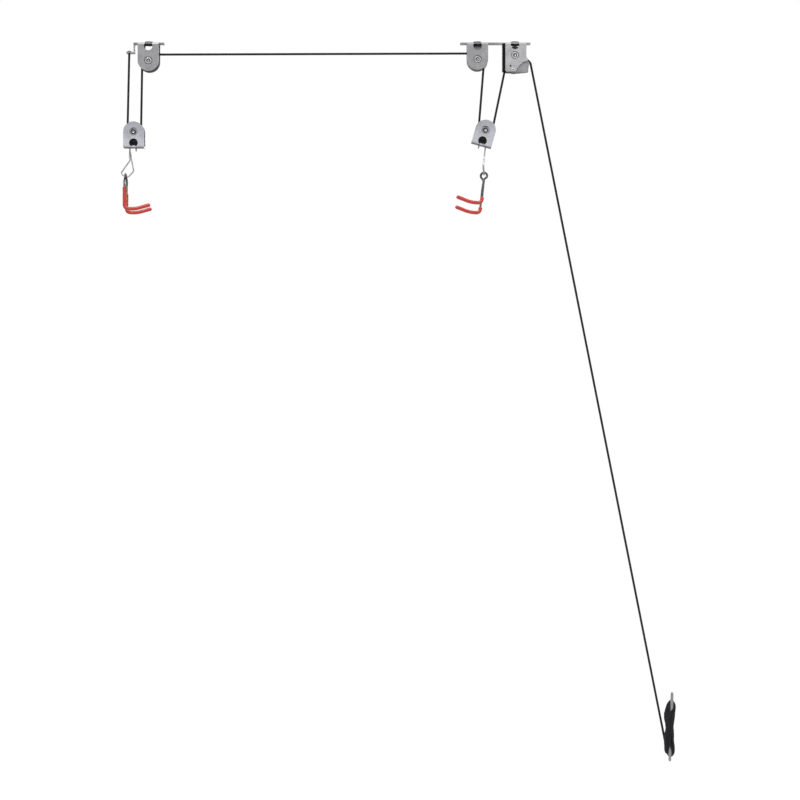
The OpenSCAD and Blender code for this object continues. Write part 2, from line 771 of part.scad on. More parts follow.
// The horn bar, thickest at the middle, grown by gap all round
module horn_bar(gap) {
    r0 = horn_d / 2 + gap;
    r1 = horn_tip_d / 2 + gap;
    end = horn_end + gap - r1;
    rotate_extrude() {
        polygon([[0, -end], [r1, -end], [r0, -post_z], [r0, post_z], [r1, end], [0, end]]);
        for (s = [-1, 1]) translate([0, s * end]) intersection() {
            circle(r1, $fn = 32);
            translate([0, -r1]) square([r1, 2 * r1]);
        }
    }
}

module cleat_posts(gap) {
    for (s = [-1, 1]) across([0, s * post_z], 0, wall_y - base_t / 2, post_d + 2 * gap);
}

module cleat_base() {
    across([0, base_l / 2 - base_w / 2], wall_y - base_t, wall_y, base_w);
    across([0, base_w / 2 - base_l / 2], wall_y - base_t, wall_y, base_w);
    translate([-base_w / 2, wall_y - base_t, base_w / 2 - base_l / 2])
        cube([base_w, base_t, base_l - base_w]);
}

module cleat() color("#a4a4ab") placed_cleat() difference() {
    union() {
        horn_bar(0);
        cleat_posts(0);
        cleat_base();
    }
    for (s = [-1, 1])
        across([0, s * cleat_hole_pitch / 2], wall_y - base_t - cut, wall_y + cut,
               cleat_hole_d);
}

// ---- Rope ----------------------------------------------------------------

module rope_button() color("#2a2a2c")
    translate([lug_hole_x, 0, lug_foot_z]) cylinder(h = rope_button_t, d = rope_button_d);

module rope_front_fall_fixed() color("#2a2a2c")
    rope_run(fixed_from, fixed_to);
module rope_front_loop() color("#2a2a2c")
    rope_arc(front_block_at, fixed_n - 180, running_n - fixed_n);
module rope_front_fall_running() color("#2a2a2c") rope_run(running_from, running_to);
module rope_rear_fall_running() color("#2a2a2c") rope_run(rear_from, rear_to);
module rope_rear_loop() color("#2a2a2c")
    rope_arc(rear_block_at, rear_n - 180, lock_n - rear_n);
module rope_rear_fall_lock() color("#2a2a2c") rope_run(lock_from, lock_to);

module rope_span() color("#2a2a2c") tube([
    for (p = arc(front_at, pitch_r, running_n, span_n)) in_plane(p),
    for (p = arc(rear_at, pitch_r, span_n, rear_n)) in_plane(p)
], rope_r, first = way_at(running_n), final = way_at(rear_n));

module rope_lead() color("#1d1d1f") tube([
    for (p = arc(lock_at, pitch_r, lock_n, lip_n)) in_plane(p),
    for (p = arc(lip_at, bend_r, lip_n, lead_n)) in_plane(p),
    in_plane(lead_to)
], rope_r, first = way_at(lock_n));

// The figure-of-eight turns on the cleat as one body, in stations along the cleat:
// [height, left, right, front, back]
turns_stations = [
    [-54, -6.5, 2, -3.5, 5], [-52, -9, 4.5, -6, 7.5], [-46, -12, 6.5, -9, 10],
    [-36, -13.6, 6.6, -11, 11.5], [-20, -12, 6.6, -12, 10], [0, -9.2, 6.6, -12.5, 8],
    [14, -9.4, 6.4, -12, 9], [28, -11.6, 6.4, -11, 11], [38, -9.6, 6, -9, 10],
    [44, -7, 5, -6.5, 7.5], [47, -4, 3, -3.5, 5]
];

module turns_body() {
    sides = 20;
    ring = function (s) let (hx = (s[2] - s[1]) / 2, hy = (s[4] - s[3]) / 2)
        [for (j = [0:sides - 1]) let (a = 360 * j / sides)
            [(s[1] + s[2]) / 2 + hx * sign(cos(a)) * pow(abs(cos(a)), 0.8),
             (s[3] + s[4]) / 2 + hy * sign(sin(a)) * pow(abs(sin(a)), 0.8), s[0]]];
    skin([for (s = turns_stations) each ring(s)], sides);
}

module rope_on_cleat() color("#232428") placed_cleat() difference() {
    turns_body();
    horn_bar(turns_gap);
    cleat_posts(turns_gap);
}

front_bracket();
rear_bracket();
lock_anvil();
front_grommet();
rear_grommet();
lock_grommet();
front_wheel();
rear_wheel();
lock_wheel();
front_block_wheel();
rear_block_wheel();
front_axle();
rear_axle();
lock_axle();
front_block_axle();
rear_block_axle();
lock_lever();
lock_pin();
lock_spring();
front_block_frame();
rear_block_frame();
front_hanger();
rear_hanger();
front_hook();
rear_hook();
front_hook_sleeve_near();
front_hook_sleeve_far();
rear_hook_sleeve_near();
rear_hook_sleeve_far();
cleat();
rope_button();
rope_front_fall_fixed();
rope_front_loop();
rope_front_fall_running();
rope_span();
rope_rear_fall_running();
rope_rear_loop();
rope_rear_fall_lock();
rope_lead();
rope_on_cleat();
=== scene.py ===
import math

import bpy
from bpy.props import FloatProperty, FloatVectorProperty, IntProperty, PointerProperty
from mathutils import Matrix, Vector


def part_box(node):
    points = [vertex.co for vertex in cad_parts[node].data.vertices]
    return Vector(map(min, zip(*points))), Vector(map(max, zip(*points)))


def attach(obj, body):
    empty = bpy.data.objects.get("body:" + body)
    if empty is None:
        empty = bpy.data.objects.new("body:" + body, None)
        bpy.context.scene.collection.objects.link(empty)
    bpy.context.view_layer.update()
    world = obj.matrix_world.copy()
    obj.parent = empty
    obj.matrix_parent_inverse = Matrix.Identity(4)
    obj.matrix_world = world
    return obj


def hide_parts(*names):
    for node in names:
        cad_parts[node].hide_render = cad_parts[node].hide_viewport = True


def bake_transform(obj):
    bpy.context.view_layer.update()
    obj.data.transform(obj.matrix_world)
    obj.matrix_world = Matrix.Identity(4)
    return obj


bl_info = {
    "name": "Ceiling Hoist",
    "version": (1, 0, 0),
    "blender": (4, 5, 0),
    "location": "3D View > Sidebar > Hoist",
    "description": "Dresses a rope hoist with two hook blocks, a lever lock and a cleat",
    "category": "Object",
}

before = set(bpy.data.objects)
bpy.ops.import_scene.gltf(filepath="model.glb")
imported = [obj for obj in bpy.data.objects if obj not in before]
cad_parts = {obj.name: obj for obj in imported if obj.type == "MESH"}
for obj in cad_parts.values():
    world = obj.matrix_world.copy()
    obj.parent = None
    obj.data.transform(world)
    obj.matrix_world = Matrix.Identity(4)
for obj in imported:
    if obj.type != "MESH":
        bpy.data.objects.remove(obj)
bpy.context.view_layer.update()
MM = 0.001
UP = Vector((0, 0, 1))


def centre(node):
    """The middle of a CAD node's box at rest."""
    low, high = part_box(node)
    return (Vector(low) + Vector(high)) / 2


FRONT_WHEEL = centre("front_wheel")
REAR_WHEEL = centre("rear_wheel")
LOCK_WHEEL = centre("lock_wheel")
FRONT_BLOCK = centre("front_block_wheel")
REAR_BLOCK = centre("rear_block_wheel")
LOCK_PIN = centre("lock_pin")
CLEAT = centre("cleat")
BUTTON = centre("rope_button")


# ---- Sizes and colours a user would change ----


def length(label, text, default):
    return FloatProperty(name=label, description=text, default=default, min=0, unit="LENGTH")


def colour(label, text, code):
    """A colour property whose default is an sRGB hex value, kept as linear light."""
    return FloatVectorProperty(
        name=label, description=text, default=linear(code), subtype="COLOR", size=3, min=0, max=1
    )


def linear(code):
    """The linear RGB of an sRGB hex value such as "#c8362c", by the standard's curve."""
    values = [int(code[i : i + 2], 16) / 255 for i in (1, 3, 5)]
    return [v / 12.92 if v <= 0.04045 else ((v + 0.055) / 1.055) ** 2.4 for v in values]


class HoistSizes(bpy.types.PropertyGroup):
    rope_d: length("Rope", "Diameter of the braided rope", 4 * MM)
    pitch_r: length("Pitch radius", "From a wheel's axis to the middle of its rope", 12.2 * MM)
    braid_pitch: length("Braid pitch", "Length of rope in which a strand goes once round", 15 * MM)
    strands: IntProperty(
        name="Strands", description="Strands of the braid that run one way", default=8, min=4
    )
    hanger_d: length("Hanger wire", "Diameter of the hangers' wire", 2.6 * MM)
    hook_d: length("Hook rod", "Diameter of the hooks' rod", 4 * MM)
    sleeve_d: length("Sleeve", "Outside diameter of the vinyl sleeves", 7 * MM)
    spring_d: length("Spring wire", "Diameter of the lock spring's wire", 1 * MM)
    turns: IntProperty(
        name="Turns", description="Figure-of-eight turns on the cleat", default=13, min=1
    )
    camera_distance: length("Camera distance", "From the rope's plane to the camera", 3.6)


class HoistColours(bpy.types.PropertyGroup):
    housing: colour("Housings", "Zinc-plated ceiling housings", "#a2a2a5")
    block: colour("Blocks", "Zinc-plated block frames", "#cdced6")
    lever: colour("Lever", "Zinc-plated lever", "#9f9ea3")
    # The anvil's near black is painted shade for the lock housing's shaded end
    anvil: colour("Anvil", "Black enamelled anvil", "#0d0d0f")
    rubber: colour("Rubber", "Rubber rings in the screw holes", "#0e0e0f")
    nylon: colour("Wheels", "Moulded nylon wheels", "#0f0f11")
    rivet: colour("Rivets", "Bright zinc of the hollow rivets", "#f0f0f2")
    wire: colour("Hanger wire", "Drawn wire of the hangers", "#bdbdbf")
    rod: colour("Hook rod", "Lacquer on the hooks' rod", "#4b4c50")
    vinyl: colour("Sleeves", "Dipped vinyl on the hooks' prongs", "#c8362c")
    casting: colour("Cleat", "Die-cast alloy of the cleat", "#a8a8b0")
    rope: colour("Rope", "Black fibre of the rope", "#15151b")
    floor: colour("Floor", "Plain pale floor", "#f2f2f0")


def sizes():
    """The sizes that the scene holds."""
    return bpy.context.scene.hoist_sizes


def colours():
    """The colours that the scene holds."""
    return bpy.context.scene.hoist_colours


# ---- Node and mesh helpers ----


# Blender's noise lies mostly between these two values
NOISE_LOW, NOISE_HIGH = 0.32, 0.68
# Cosines of the turn of a rounded edge's normal where rubbing starts and is strongest
RUB_START, RUB_FULL = 0.98, 0.8
# Share of the lighter colour on a rubbed edge, and how much lighter that colour is
RUB_SHARE, RUB_GAIN, RUB_LIFT = 0.5, 1.25, 0.02
# Faces that meet at more than this keep a sharp edge
SHARP_ANGLE = math.radians(40)
# A mesh round a wheel takes steps no longer than this
ARC_STEP = math.radians(6)


def add_node(tree, kind, inputs=None, **settings):
    """Adds a node. An input is a value, or another node's output that is linked to it."""
    node = tree.nodes.new(kind)
    for key, value in settings.items():
        setattr(node, key, value)
    for key, value in (inputs or {}).items():
        if isinstance(value, bpy.types.NodeSocket):
            tree.links.new(value, node.inputs[key])
        else:
            node.inputs[key].default_value = value
    return node


def new_material(name, base, metallic, roughness, **sockets):
    """A material with a Principled BSDF; returns (material, tree, shader)."""
    material = bpy.data.materials.new(name)
    material.use_nodes = True
    tree = material.node_tree
    shader = next(n for n in tree.nodes if n.type == "BSDF_PRINCIPLED")
    shader.inputs["Base Color"].default_value = (*base, 1)
    shader.inputs["Metallic"].default_value = metallic
    shader.inputs["Roughness"].default_value = roughness
    for key, value in sockets.items():
        shader.inputs[key.replace("_", " ")].default_value = value
    return material, tree, shader


def tint(base, share, lift=0.0):
    """The colour base times share, plus lift, as an opaque RGBA no brighter than white."""
    return (*[min(1, c * share + lift) for c in base], 1)


def uneven(tree, shader, base, patch, shades, gloss, grain, depth, edge=0.4, marks=None):
    """Gives a surface its uneven colour, gloss and relief; lengths are in mm.

    Patches about patch wide shift the colour between two shades, given as shares of
    the base colour, and the roughness between the two values of gloss. A grain about
    grain wide stands depth proud. Edges are rounded by edge, and rubbed a little
    lighter there. marks is another relief, 0 to 1, to add to the grain. Returns the
    outputs of the surface's place and of its colour.
    """
    spot = add_node(tree, "ShaderNodeTexCoord").outputs["Object"]
    cloud = add_node(
        tree, "ShaderNodeTexNoise",
        {"Vector": spot, "Scale": 1 / (patch * MM), "Detail": 4.0, "Roughness": 0.6},
    ).outputs["Fac"]
    cloud = add_node(
        tree, "ShaderNodeMapRange", {"Value": cloud, "From Min": NOISE_LOW, "From Max": NOISE_HIGH}
    ).outputs["Result"]
    rounded_edge = add_node(
        tree, "ShaderNodeBevel", {"Radius": edge * MM}, samples=4
    ).outputs["Normal"]
    flat = add_node(tree, "ShaderNodeNewGeometry").outputs["Normal"]
    facing = add_node(
        tree, "ShaderNodeVectorMath", {0: rounded_edge, 1: flat}, operation="DOT_PRODUCT"
    ).outputs["Value"]
    rubbed = add_node(
        tree, "ShaderNodeMapRange",
        {"Value": facing, "From Min": RUB_START, "From Max": RUB_FULL, "To Max": RUB_SHARE},
    ).outputs["Result"]
    shade = add_node(
        tree, "ShaderNodeMix",
        {0: cloud, 6: tint(base, shades[0]), 7: tint(base, shades[1])}, data_type="RGBA",
    ).outputs[2]
    worn = tint(base, shades[1] * RUB_GAIN, RUB_LIFT)
    shade = add_node(
        tree, "ShaderNodeMix", {0: rubbed, 6: shade, 7: worn}, data_type="RGBA"
    ).outputs[2]
    tree.links.new(shade, shader.inputs["Base Color"])
    rough = add_node(
        tree, "ShaderNodeMapRange", {"Value": cloud, "To Min": gloss[0], "To Max": gloss[1]}
    ).outputs["Result"]
    tree.links.new(rough, shader.inputs["Roughness"])
    relief = add_node(
        tree, "ShaderNodeTexNoise", {"Vector": spot, "Scale": 1 / (grain * MM), "Detail": 3.0}
    ).outputs["Fac"]
    if marks:
        relief = add_node(
            tree, "ShaderNodeMath", {0: relief, 1: marks}, operation="ADD"
        ).outputs["Value"]
    skin = add_node(
        tree, "ShaderNodeBump",
        {"Strength": 0.7, "Distance": depth * MM, "Height": relief, "Normal": rounded_edge},
    ).outputs["Normal"]
    tree.links.new(skin, shader.inputs["Normal"])
    return spot, shade


def dress(material, *nodes):
    """Gives CAD nodes a material in every slot."""
    for name in nodes:
        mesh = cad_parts[name].data
        if not mesh.materials:
            mesh.materials.append(material)
        for i in range(len(mesh.materials)):
            mesh.materials[i] = material


def add_object(name, data):
    """A new object in the scene."""
    new = bpy.data.objects.new(name, data)
    bpy.context.scene.collection.objects.link(new)
    return new


def cap(bevel, radius):
    """Rings of a tube's rounded end: (how far out, share of the radius), outwards."""
    steps = 4 if bevel > 0.5 else 2
    quarter = [math.pi / 2 * k / steps for k in range(1, steps + 1)]
    return [(bevel * radius * math.sin(a), 1 - bevel + bevel * math.cos(a)) for a in quarter]


def tube(path, radius, ring, ends):
    """Vertices, faces and corner UVs of a round tube along a path of points.

    radius is a number, or a function of the distance along the path and of the
    whole length. ends is the bevel of each end as a share of the radius. A UV is
    (turns round the tube, metres along it).
    """
    path = [Vector(p) for p in path]
    along = [0.0]
    for a, b in zip(path, path[1:]):
        along.append(along[-1] + (b - a).length)
    whole = along[-1]

    def radius_at(s):
        return radius(min(max(s, 0), whole), whole) if callable(radius) else radius

    # The directions across the path turn with it and don't twist about it
    ways, across = [], []
    for i in range(len(path)):
        before = path[max(i - 1, 0)]
        after = path[min(i + 1, len(path) - 1)]
        way = (after - before).normalized()
        if i:
            side = ways[-1].rotation_difference(way) @ side
        else:
            side = way.orthogonal().normalized()
        side = (side - way * side.dot(way)).normalized()
        ways.append(way)
        across.append((side, way.cross(side)))
    # A ring is (its middle, its place in the path, share of the radius, metres along)
    rings = []
    for out, share in reversed(cap(ends[0], radius_at(0))):
        rings.append((path[0] - ways[0] * out, 0, share, -out))
    for i, (p, s) in enumerate(zip(path, along)):
        rings.append((p, i, 1.0, s))
    for out, share in cap(ends[1], radius_at(whole)):
        rings.append((path[-1] + ways[-1] * out, len(path) - 1, share, whole + out))
    vertices = []
    for p, i, share, s in rings:
        r = radius_at(s) * share
        for j in range(ring):
            a = 2 * math.pi * j / ring
            vertices.append(p + across[i][0] * r * math.cos(a) + across[i][1] * r * math.sin(a))
    faces, uvs = [], []
    for i in range(len(rings) - 1):
        for j in range(ring):
            k = (j + 1) % ring
            faces.append((i * ring + j, i * ring + k, (i + 1) * ring + k, (i + 1) * ring + j))
            s0, s1 = rings[i][3], rings[i + 1][3]
            u0, u1 = j / ring, (j + 1) / ring
            uvs += [(u0, s0), (u1, s0), (u1, s1), (u0, s1)]
    last = (len(rings) - 1) * ring
    faces.append(tuple(reversed(range(ring))))
    faces.append(tuple(last + j for j in range(ring)))
    uvs += [(j / ring, rings[0][3]) for j in reversed(range(ring))]
    uvs += [(j / ring, rings[-1][3]) for j in range(ring)]
    return [tuple(v) for v in vertices], faces, uvs


def tube_object(name, path, radius, material, ring=16, ends=(0.3, 0.3)):
    """An object made of one round tube, smooth but for its sharp edges."""
    vertices, faces, uvs = tube(path, radius, ring, ends)
    mesh = bpy.data.meshes.new(name)
    mesh.from_pydata(vertices, [], faces)
    mesh.materials.append(material)
    layer = mesh.uv_layers.new(name="along")
    for loop, uv in zip(layer.data, uvs):
        loop.uv = uv
    mesh.polygons.foreach_set("use_smooth", [True] * len(mesh.polygons))
    mesh.set_sharp_from_angle(angle=SHARP_ANGLE)
    mesh.update()
    return add_object(name, mesh)


def corner(a, p, b, cut, steps):
    """A bend at the point p between a and b, which starts cut away from it."""
    start = p + (a - p).normalized() * cut
    stop = p + (b - p).normalized() * cut
    ts = [i / steps for i in range(steps + 1)]
    return [(1 - t) ** 2 * start + 2 * t * (1 - t) * p + t * t * stop for t in ts]


def rounded(points, radius, step):
    """A polyline with its corners rounded and its straights cut into short steps."""
    points = [Vector(p) for p in points]
    # Two bends at the ends of a straight leave a little of it between them
    most = 0.48
    path = [points[0]]
    for a, p, b in zip(points, points[1:], points[2:]):
        cut = min(radius, (a - p).length * most, (b - p).length * most)
        path += corner(a, p, b, cut, 6)
    path.append(points[-1])
    dense = [path[0]]
    for a, b in zip(path, path[1:]):
        pieces = max(1, math.ceil((b - a).length / step))
        dense += [a.lerp(b, k / pieces) for k in range(1, pieces + 1)]
    return dense


def in_plane(at, radius, angle):
    """A point around a wheel, in the rope's plane."""
    return at + Vector((math.cos(angle), 0, math.sin(angle))) * radius


def arc(at, radius, start, stop):
    """Points around a wheel from one angle to another, in the rope's plane."""
    pieces = max(2, math.ceil(abs(stop - start) / ARC_STEP))
    return [in_plane(at, radius, start + (stop - start) * i / pieces) for i in range(pieces + 1)]


def normal_angle(a, b, ra, rb, side_a, side_b):
    """Angle of a straight rope's normal between two wheels, as in the CAD source."""
    way = b - a
    gap = math.hypot(way.x, way.z)
    return math.atan2(way.z, way.x) + math.acos((side_a * ra - side_b * rb) / gap)


# ---- Materials ----


def zinc_sheet(name, base, painted_shading_shifts=(), inner_face_painted_shading=1.0, middle=0.0):
    """Pressed steel sheet, zinc plated: satin grey, faintly spangled, with rolling lines.

    A shift is a slow painted change of light or shade along one axis of the object's place
    or normal: (output, axis, from, to, shade at from, shade at to). inside is painted
    shading on the cheeks' inner faces about the X of middle: a share below 1 is painted
    shade, above 1 painted light.
    """
    material, tree, shader = new_material(name, base, 0.85, 0.42)
    coord = add_node(tree, "ShaderNodeTexCoord")
    spot = coord.outputs["Object"]
    # Rolling lines 0.3 mm apart run along the strip, drawn twelve times as long
    stretch = add_node(
        tree, "ShaderNodeMapping", {"Vector": spot, "Scale": (0.08, 1, 1)}
    ).outputs["Vector"]
    lines = add_node(
        tree, "ShaderNodeTexNoise", {"Vector": stretch, "Scale": 1 / (0.3 * MM), "Detail": 2.0}
    ).outputs["Fac"]
    # Crystals of the plating are about 2 mm across and differ slightly in shade
    crystals = add_node(
        tree, "ShaderNodeTexVoronoi", {"Vector": spot, "Scale": 1 / (2 * MM)}
    ).outputs["Color"]
    _, shade = uneven(
        tree, shader, base, 14, (0.9, 1.03), (0.38, 0.48), 0.8, 0.02, marks=lines
    )
    grey = add_node(tree, "ShaderNodeRGBToBW", {"Color": crystals}).outputs["Val"]
    lift = add_node(
        tree, "ShaderNodeMapRange", {"Value": grey, "To Min": 0.95, "To Max": 1.03}
    ).outputs["Result"]
    place = add_node(tree, "ShaderNodeSeparateXYZ", {"Vector": spot})
    normal = add_node(tree, "ShaderNodeSeparateXYZ", {"Vector": coord.outputs["Normal"]})
    shares = []
    for source, axis, start, stop, first, last in painted_shading_shifts:
        value = (place if source == "Object" else normal).outputs[axis]
        shares.append((value, start, stop, first, last))
    # A cheek's inner face looks towards the middle plane, so this product is below zero
    outward = add_node(
        tree, "ShaderNodeMath",
        {0: place.outputs["Y"], 1: normal.outputs["Y"]}, operation="MULTIPLY",
    ).outputs["Value"]
    beside = add_node(
        tree, "ShaderNodeMath", {0: place.outputs["X"], 1: middle}, operation="SUBTRACT"
    ).outputs["Value"]
    beside = add_node(tree, "ShaderNodeMath", {0: beside}, operation="ABSOLUTE").outputs["Value"]
    # An inner face is 10 mm from the middle plane, so it has its painted shading up to
    # 12 mm beside the middle, where the sum reaches full, and loses it by 16 mm
    slope, full, gone = 0.5, -4 * MM, -2 * MM
    inner = add_node(
        tree, "ShaderNodeMath", {0: beside, 1: slope, 2: outward}, operation="MULTIPLY_ADD"
    ).outputs["Value"]
    # The inner faces' painted shading joins the other painted shifts
    shares.append((inner, full, gone, inner_face_painted_shading, 1.0))
    for value, start, stop, first, last in shares:
        share = add_node(
            tree, "ShaderNodeMapRange",
            {"Value": value, "From Min": start, "From Max": stop, "To Min": first, "To Max": last},
        ).outputs["Result"]
        lift = add_node(
            tree, "ShaderNodeMath", {0: lift, 1: share}, operation="MULTIPLY"
        ).outputs["Value"]
    mottled = add_node(
        tree, "ShaderNodeVectorMath", {0: shade, "Scale": lift}, operation="SCALE"
    ).outputs["Vector"]
    tree.links.new(mottled, shader.inputs["Base Color"])
    return material


def stove_enamel(name, base):
    """Stove enamel on sheet steel, even and low in gloss with a fine orange peel; black for
    painted shade.
    """
    material, tree, shader = new_material(name, base, 0.0, 0.6, Specular_IOR_Level=0.12)
    uneven(tree, shader, base, 6, (0.6, 0.9), (0.55, 0.68), 0.8, 0.02)
    return material


def moulded_rubber(name, base):
    """Moulded rubber ring: matt and black, with a faint dusty bloom."""
    material, tree, shader = new_material(name, base, 0.0, 0.7)
    uneven(tree, shader, base, 3, (0.8, 1.5), (0.62, 0.78), 0.3, 0.02)
    return material


def moulded_nylon(name, base):
    """Moulded nylon wheel: dark with a low sheen, polished in places by the rope."""
    material, tree, shader = new_material(name, base, 0.0, 0.45)
    uneven(tree, shader, base, 5, (0.85, 1.2), (0.34, 0.55), 0.5, 0.015)
    return material


def bright_zinc(name, base, at, throat):
    """Hollow rivet, zinc plated and rolled over: bright, with rubbed marks.

    The rolled throat about the bore at the point at is darkened with painted shade
    between the two radii of throat, in mm.
    """
    material, tree, shader = new_material(name, base, 0.6, 0.24)
    spot, shade = uneven(
        tree, shader, base, 1.5, (0.9, 1.0), (0.14, 0.28), 0.8, 0.01, edge=0.9
    )
    away = add_node(
        tree, "ShaderNodeVectorMath", {0: spot, 1: at}, operation="SUBTRACT"
    ).outputs["Vector"]
    flat = add_node(
        tree, "ShaderNodeVectorMath", {0: away, 1: (1, 0, 1)}, operation="MULTIPLY"
    ).outputs["Vector"]
    radius = add_node(tree, "ShaderNodeVectorMath", {0: flat}, operation="LENGTH").outputs["Value"]
    inner, outer = throat
    # The throat's ring is darkened to this share: painted shade
    soft, throat_painted_shade = 0.3, 0.07
    edges = []
    for start, stop in ((inner - soft, inner + soft), (outer + soft, outer - soft)):
        edge = add_node(
            tree, "ShaderNodeMapRange",
            {"Value": radius, "From Min": start * MM, "From Max": stop * MM},
        )
        edges.append(edge.outputs["Result"])
    share = add_node(
        tree, "ShaderNodeMath", {0: edges[0], 1: edges[1]}, operation="MULTIPLY"
    ).outputs["Value"]
    with_painted_throat = add_node(
        tree, "ShaderNodeMix", {0: share, 6: shade, 7: tint(base, throat_painted_shade)}, data_type="RGBA"
    ).outputs[2]
    tree.links.new(with_painted_throat, shader.inputs["Base Color"])
    return material


def drawn_wire(name, base, gloss):
    """Drawn and zinc-plated steel wire: greyish shine with fine marks along its length."""
    material, tree, shader = new_material(name, base, 1.0, gloss)
    # Draw marks are 0.3 mm wide, 27 round a 2.6 mm wire, and 15 mm long, 66 in a metre;
    # the UV is (turns round, metres along)
    along = add_node(tree, "ShaderNodeTexCoord").outputs["UV"]
    stretch = add_node(
        tree, "ShaderNodeMapping", {"Vector": along, "Scale": (27, 66, 1)}
    ).outputs["Vector"]
    marks = add_node(
        tree, "ShaderNodeTexNoise", {"Vector": stretch, "Scale": 1.0, "Detail": 3.0}
    ).outputs["Fac"]
    uneven(
        tree, shader, base, 4, (0.78, 1.0), (gloss - 0.06, gloss + 0.12), 0.6, 0.012, marks=marks
    )
    return material


def lacquered_rod(name, base):
    """Bent steel rod under thin dark lacquer, rubbed through in places to a steel grey."""
    material, tree, shader = new_material(name, base, 0.4, 0.36)
    uneven(tree, shader, base, 5, (0.75, 1.5), (0.28, 0.44), 0.6, 0.015)
    return material


def dipped_vinyl(name, base):
    """Soft vinyl dipped over the rod: a smooth wet-looking skin, slightly uneven."""
    material, tree, shader = new_material(
        name, base, 0.0, 0.34, Subsurface_Weight=0.05, Coat_Weight=0.3, Coat_Roughness=0.2
    )
    shader.inputs["Subsurface Radius"].default_value = (1.5 * MM, 0.4 * MM, 0.3 * MM)
    uneven(tree, shader, base, 8, (0.86, 1.06), (0.28, 0.4), 2.5, 0.07)
    return material


def cast_alloy(name, base):
    """Die-cast zinc alloy, tumbled: a soft grey shine with a fine grain."""
    material, tree, shader = new_material(name, base, 0.85, 0.4)
    uneven(tree, shader, base, 6, (0.82, 1.06), (0.34, 0.5), 0.5, 0.04)
    return material


def melted_fibre(name, base):
    """The rope's end melted into a button: hard, dull and lumpy."""
    material, tree, shader = new_material(name, base, 0.0, 0.6, Specular_IOR_Level=0.25)
    uneven(tree, shader, base, 2, (0.6, 1.1), (0.5, 0.68), 1.5, 0.2)
    return material


def braided_rope(name, base):
    """Braided polypropylene: black fibre with a dull sheen, in small woven scales.

    The UV is (turns round the rope, metres along it). Two sets of strands wind
    opposite ways, and the one on top at a place is the one whose wave is higher.
    """
    material, tree, shader = new_material(
        name, base, 0.0, 0.7, Sheen_Weight=0.06, Sheen_Roughness=0.5, Specular_IOR_Level=0.3
    )
    size = sizes()
    coord = add_node(tree, "ShaderNodeTexCoord")
    uv = add_node(tree, "ShaderNodeSeparateXYZ", {"Vector": coord.outputs["UV"]})
    turn = 2 * math.pi * size.strands
    waves = []
    for way in (1, -1):
        along = add_node(
            tree, "ShaderNodeMath",
            {0: uv.outputs["Y"], 1: way * turn / size.braid_pitch}, operation="MULTIPLY",
        ).outputs["Value"]
        phase = add_node(
            tree, "ShaderNodeMath",
            {0: uv.outputs["X"], 1: turn, 2: along}, operation="MULTIPLY_ADD",
        ).outputs["Value"]
        wave = add_node(tree, "ShaderNodeMath", {0: phase}, operation="SINE")
        waves.append(wave.outputs["Value"])
    top = add_node(
        tree, "ShaderNodeMath", {0: waves[0], 1: waves[1]}, operation="MAXIMUM"
    ).outputs["Value"]
    # Fibre ends 0.4 mm apart break up the strands
    fibre = add_node(
        tree, "ShaderNodeTexNoise",
        {"Vector": coord.outputs["Object"], "Scale": 1 / (0.4 * MM), "Detail": 3.0},
    ).outputs["Fac"]
    height = add_node(
        tree, "ShaderNodeMapRange", {"Value": top, "From Min": -0.6, "To Max": 0.75}
    ).outputs["Result"]
    height = add_node(
        tree, "ShaderNodeMath", {0: fibre, 1: 0.25, 2: height}, operation="MULTIPLY_ADD"
    ).outputs["Value"]
    # The braid's hollows are painted darker and the strands' tops lighter: painted shade and
    # painted highlight
    shade = add_node(
        tree, "ShaderNodeMix",
        {0: height, 6: tint(base, 0.3), 7: tint(base, 1.5)}, data_type="RGBA",
    ).outputs[2]
    tree.links.new(shade, shader.inputs["Base Color"])
    relief = add_node(
        tree, "ShaderNodeBump", {"Strength": 0.8, "Distance": 0.35 * MM, "Height": height}
    ).outputs["Normal"]
    tree.links.new(relief, shader.inputs["Normal"])
    return material


def seen_rays(tree, share, glossy):
    """A strength for white surroundings that adds no light to the object.

    It is share where the camera sees them, straight or through glass, glossy times
    that in reflections, and 0 for the light that falls on things.
    """
    rays = add_node(tree, "ShaderNodeLightPath")
    seen = add_node(
        tree, "ShaderNodeMath",
        {0: rays.outputs["Is Camera Ray"], 1: rays.outputs["Is Transmission Ray"]},
        operation="MAXIMUM",
    ).outputs["Value"]
    mirrored = add_node(
        tree, "ShaderNodeMath", {0: rays.outputs["Is Glossy Ray"], 1: glossy}, operation="MULTIPLY"
    ).outputs["Value"]
    seen = add_node(
        tree, "ShaderNodeMath", {0: seen, 1: mirrored}, operation="MAXIMUM"
    ).outputs["Value"]
    return add_node(
        tree, "ShaderNodeMath", {0: seen, 1: share}, operation="MULTIPLY"
    ).outputs["Value"]


def pale_floor(name, base):
    """Plain pale floor: matt, lifted to white for the camera so that only shadows show.

    It is clear from below, because a hoist is mostly looked at from underneath.
    """
    material, tree, shader = new_material(name, base, 0.0, 0.85)
    # With the lamps' light this much glow makes white, and a tenth of it is mirrored
    lift = seen_rays(tree, 0.62, 0.1)
    glow = add_node(tree, "ShaderNodeEmission", {"Strength": lift}).outputs["Emission"]
    lit = add_node(tree, "ShaderNodeAddShader", {0: shader.outputs[0], 1: glow}).outputs[0]
    clear = add_node(tree, "ShaderNodeBsdfTransparent").outputs[0]
    below = add_node(tree, "ShaderNodeNewGeometry").outputs["Backfacing"]
    surface = add_node(tree, "ShaderNodeMixShader", {0: below, 1: lit, 2: clear}).outputs[0]
    output = next(n for n in tree.nodes if n.type == "OUTPUT_MATERIAL")
    tree.links.new(surface, output.inputs["Surface"])
    return material


# ---- Rope ----


# From the lever's pin to the middle of its rolled lip, in mm, the lip's radius, and
# the gap between lip and rope
LIP = (27, 0, 11)
LIP_R = 2.6
LIP_GAP = 0.6
